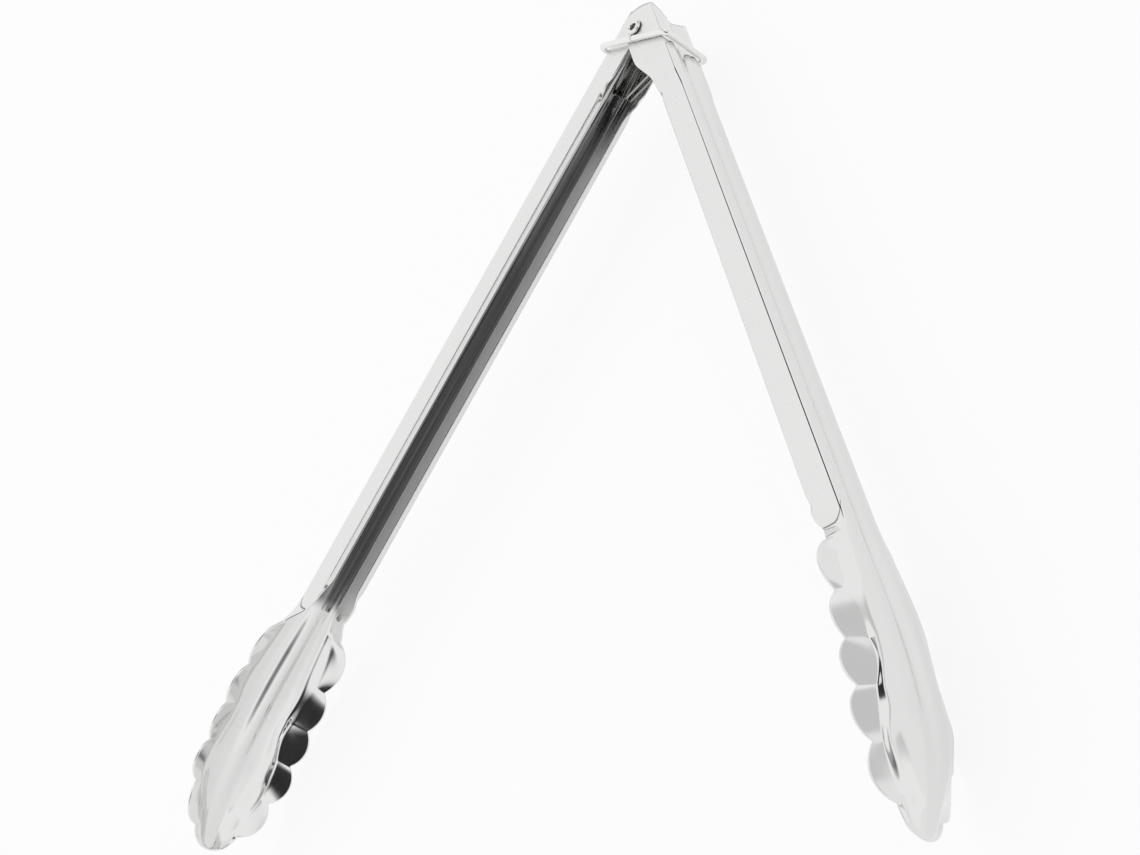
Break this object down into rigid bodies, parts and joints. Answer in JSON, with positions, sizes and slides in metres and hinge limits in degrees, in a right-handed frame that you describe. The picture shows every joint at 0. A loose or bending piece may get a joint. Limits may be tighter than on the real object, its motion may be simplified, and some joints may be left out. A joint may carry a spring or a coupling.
{
  "type": "dessert tongs",
  "caption": "Spring-opened sheet metal serving tongs with fluted channel arms, scalloped scoop ends and a sliding locking ring.",
  "frame": {"origin": "middle of the bounding box's footprint, at the height of the lowest scallop edges; the tongs lie open on their side", "axes": "+X across the opening, from the inner arm to the outer arm; +Y from the scoops to the riveted head; +Z along the rivet, up"},
  "size_m": [0.2894, 0.2677, 0.038],
  "materials": {
    "sheet_steel": "bright satin stainless steel, polished at the scoops",
    "rivet_steel": "bright rolled rivet",
    "spring_steel": "drawn wire",
    "ring_steel": "bright drawn wire"
  },
  "bodies": {
    "pivot": {"pivot_rivet": "rivet_steel", "torsion_spring": "spring_steel"},
    "outer_arm": {"outer_arm": "sheet_steel"},
    "inner_arm": {"inner_arm": "sheet_steel"},
    "locking_ring": {"locking_ring": "ring_steel"}
  },
  "joints": [
    {"name": "outer_arm_hinge", "type": "hinge", "parent": "pivot", "child": "outer_arm", "pos_m": [0, 0.12569, 0.019], "axis": [0, 0, -1], "range_deg": [0, 28.7], "stiffness_Nm_per_rad": 0.6, "springref_deg": -28.65, "deforming": ["torsion_spring"]},
    {"name": "inner_arm_hinge", "type": "hinge", "parent": "pivot", "child": "inner_arm", "pos_m": [0, 0.12569, 0.019], "axis": [0, 0, 1], "range_deg": [0, 28.7], "stiffness_Nm_per_rad": 0.6, "springref_deg": -28.65},
    {"name": "ring_slide", "type": "slide", "parent": "pivot", "child": "locking_ring", "axis": [0, -1, 0], "range_m": [0, 0.0128]}
  ],
  "couplings": [
    {"joint": "inner_arm_hinge", "follows": "outer_arm_hinge", "ratio": 1},
    {"joint": "ring_slide", "follows": "outer_arm_hinge", "m_per_rad": 0.0252}
  ]
}
